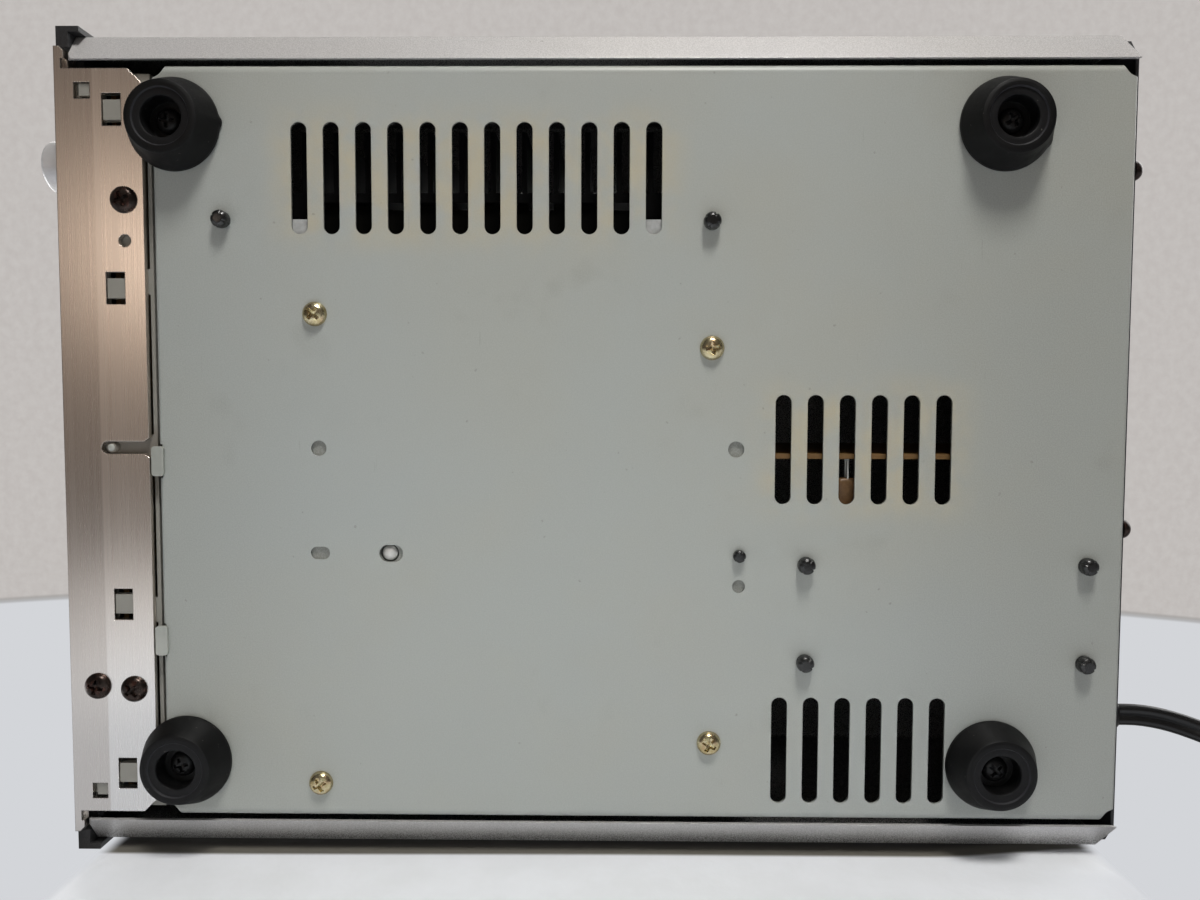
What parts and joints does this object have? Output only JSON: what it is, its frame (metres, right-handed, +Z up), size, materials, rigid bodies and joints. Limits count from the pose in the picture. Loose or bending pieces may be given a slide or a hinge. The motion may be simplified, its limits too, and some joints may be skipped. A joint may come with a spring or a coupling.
{
  "type": "mini hi-fi system",
  "caption": "Mini hi-fi unit in a metal case on rubber feet, with a sliding disc tray, display window, keys, volume knob, rear jacks and a coiled mains cord.",
  "frame": {"origin": "middle of the footprint without the cord, on the surface that the feet stand on", "axes": "+X to the right of a viewer in front of the unit, +Y to the rear, +Z up"},
  "size_m": [0.2618, 0.5193, 0.11],
  "materials": {
    "plate_paint": "satin grey-green paint",
    "rear_paint": "satin black paint",
    "cover_paint": "satin silver paint",
    "panel_aluminium": "hairline brushed along the width",
    "key_aluminium": "satin",
    "knob_silver": "turned, fine ribs",
    "frame_black": "fine grained",
    "tray_black": "fine grained",
    "bracket_zinc": "zinc plated sheet",
    "window_smoke": "smoked and clear",
    "display_glass": "sealed glass tube",
    "board_brown": "paper laminate",
    "sink_aluminium": "extruded",
    "core_steel": "varnished laminations and tape",
    "nylon_black": "moulded nylon",
    "foot_rubber": "matt rubber",
    "screw_black": "black zinc",
    "screw_yellow": "yellow zinc",
    "post_steel": "zinc plated",
    "motor_steel": "plated can",
    "belt_rubber": "smooth rubber",
    "gear_nylon": "moulded",
    "drive_black": "moulded",
    "cord_vinyl": "smooth vinyl",
    "lever_red": "moulded",
    "lever_black": "moulded"
  },
  "bodies": {
    "case": {"bottom_plate": "plate_paint", "rear_panel": "rear_paint", "top_cover": "cover_paint", "front_panel": "panel_aluminium", "front_frame": "frame_black", "loader_frame": "frame_black", "phones_jack": "frame_black", "speaker_terminal": "frame_black", "line_jacks": "frame_black", "front_bracket": "bracket_zinc", "clamp_bridge": "bracket_zinc", "traverse_plate": "bracket_zinc", "display_window": "window_smoke", "display_tube": "display_glass", "front_board": "board_brown", "main_board": "board_brown", "power_board": "board_brown", "signal_board": "board_brown", "heat_sink": "sink_aluminium", "transformer": "core_steel", "board_supports": "nylon_black", "foot_front_left": "foot_rubber", "foot_front_right": "foot_rubber", "foot_rear_left": "foot_rubber", "foot_rear_right": "foot_rubber", "foot_screws": "screw_black", "panel_screws": "screw_black", "rear_screws": "screw_black", "loader_screws": "screw_yellow", "loader_posts": "post_steel", "guide_rods": "post_steel", "spindle_motor": "motor_steel", "loading_motor": "motor_steel", "volume_control": "motor_steel", "loading_belt": "belt_rubber", "cord_bushing": "cord_vinyl", "power_cord": "cord_vinyl", "cord_coil": "cord_vinyl", "plug": "cord_vinyl"},
    "tray": {"disc_tray": "tray_black", "tray_door": "panel_aluminium"},
    "drive_wheel": {"drive_gear": "gear_nylon"},
    "pulley_wheel": {"pulley_gear": "gear_nylon"},
    "motor_wheel": {"motor_pulley": "gear_nylon"},
    "platter": {"turntable": "drive_black"},
    "clamp_disc": {"clamper": "gear_nylon"},
    "sled": {"pickup": "drive_black"},
    "feed_wheel": {"feed_gear": "gear_nylon"},
    "volume": {"volume_knob": "knob_silver", "volume_shaft": "post_steel"},
    "power_key": {"power_button": "key_aluminium"},
    "open_button": {"open_key": "key_aluminium"},
    "play_button": {"play_key": "key_aluminium"},
    "stop_button": {"stop_key": "key_aluminium"},
    "back_button": {"back_key": "key_aluminium"},
    "forward_button": {"forward_key": "key_aluminium"},
    "terminal_lever_1": {"lever_1": "lever_red"},
    "terminal_lever_2": {"lever_2": "lever_black"},
    "terminal_lever_3": {"lever_3": "lever_red"},
    "terminal_lever_4": {"lever_4": "lever_black"}
  },
  "joints": [
    {"name": "tray_slide", "type": "slide", "parent": "case", "child": "tray", "axis": [0, -1, 0], "range_m": [0, 0.145]},
    {"name": "drive_spin", "type": "hinge", "parent": "case", "child": "drive_wheel", "pos_m": [0.01425, -0.12887, 0.073], "axis": [0, 0, 1], "range_deg": [-1045, 5]},
    {"name": "pulley_spin", "type": "hinge", "parent": "case", "child": "pulley_wheel", "pos_m": [-0.00495, -0.12887, 0.066], "axis": [0, 0, 1], "range_deg": [-5, 3125]},
    {"name": "motor_spin", "type": "hinge", "parent": "case", "child": "motor_wheel", "pos_m": [-0.04675, -0.12887, 0.064], "axis": [0, 0, 1], "range_deg": [-20, 9030]},
    {"name": "platter_spin", "type": "hinge", "parent": "case", "child": "platter", "pos_m": [-0.03275, -0.08388, 0.078], "axis": [0, 0, 1], "continuous": true},
    {"name": "clamp_spin", "type": "hinge", "parent": "case", "child": "clamp_disc", "pos_m": [-0.03275, -0.08388, 0.094], "axis": [0, 0, 1], "continuous": true},
    {"name": "sled_slide", "type": "slide", "parent": "case", "child": "sled", "axis": [0, 1, 0], "range_m": [0, 0.035]},
    {"name": "feed_spin", "type": "hinge", "parent": "case", "child": "feed_wheel", "pos_m": [-0.06095, -0.02687, 0.071], "axis": [0, 0, 1], "range_deg": [-2, 255]},
    {"name": "volume_turn", "type": "hinge", "parent": "case", "child": "volume", "pos_m": [0.093, -0.16478, 0.035], "axis": [0, 1, 0], "range_deg": [-150, 150]},
    {"name": "power_press", "type": "slide", "parent": "case", "child": "power_key", "axis": [0, 1, 0], "range_m": [0, 0.0025], "stiffness_N_per_m": 500, "springref_m": -0.001},
    {"name": "open_press", "type": "slide", "parent": "case", "child": "open_button", "axis": [0, 1, 0], "range_m": [0, 0.001], "stiffness_N_per_m": 800, "springref_m": -0.0006},
    {"name": "play_press", "type": "slide", "parent": "case", "child": "play_button", "axis": [0, 1, 0], "range_m": [0, 0.001], "stiffness_N_per_m": 800, "springref_m": -0.0006},
    {"name": "stop_press", "type": "slide", "parent": "case", "child": "stop_button", "axis": [0, 1, 0], "range_m": [0, 0.001], "stiffness_N_per_m": 800, "springref_m": -0.0006},
    {"name": "back_press", "type": "slide", "parent": "case", "child": "back_button", "axis": [0, 1, 0], "range_m": [0, 0.001], "stiffness_N_per_m": 800, "springref_m": -0.0006},
    {"name": "forward_press", "type": "slide", "parent": "case", "child": "forward_button", "axis": [0, 1, 0], "range_m": [0, 0.001], "stiffness_N_per_m": 800, "springref_m": -0.0006},
    {"name": "lever_1_turn", "type": "hinge", "parent": "case", "child": "terminal_lever_1", "pos_m": [0.0556, 0.17497, 0.047], "axis": [1, 0, 0], "range_deg": [0, 18], "stiffness_Nm_per_rad": 0.08, "springref_deg": -6.88},
    {"name": "lever_2_turn", "type": "hinge", "parent": "case", "child": "terminal_lever_2", "pos_m": [0.0692, 0.17497, 0.047], "axis": [1, 0, 0], "range_deg": [0, 18], "stiffness_Nm_per_rad": 0.08, "springref_deg": -6.88},
    {"name": "lever_3_turn", "type": "hinge", "parent": "case", "child": "terminal_lever_3", "pos_m": [0.0828, 0.17497, 0.047], "axis": [1, 0, 0], "range_deg": [0, 18], "stiffness_Nm_per_rad": 0.08, "springref_deg": -6.88},
    {"name": "lever_4_turn", "type": "hinge", "parent": "case", "child": "terminal_lever_4", "pos_m": [0.0964, 0.17497, 0.047], "axis": [1, 0, 0], "range_deg": [0, 18], "stiffness_Nm_per_rad": 0.08, "springref_deg": -6.88}
  ],
  "couplings": [
    {"joint": "drive_spin", "follows": "tray_slide", "rad_per_m": -125},
    {"joint": "pulley_spin", "follows": "tray_slide", "rad_per_m": 375},
    {"joint": "motor_spin", "follows": "tray_slide", "rad_per_m": 1084.5},
    {"joint": "clamp_spin", "follows": "platter_spin", "ratio": 1},
    {"joint": "feed_spin", "follows": "sled_slide", "rad_per_m": 125}
  ]
}
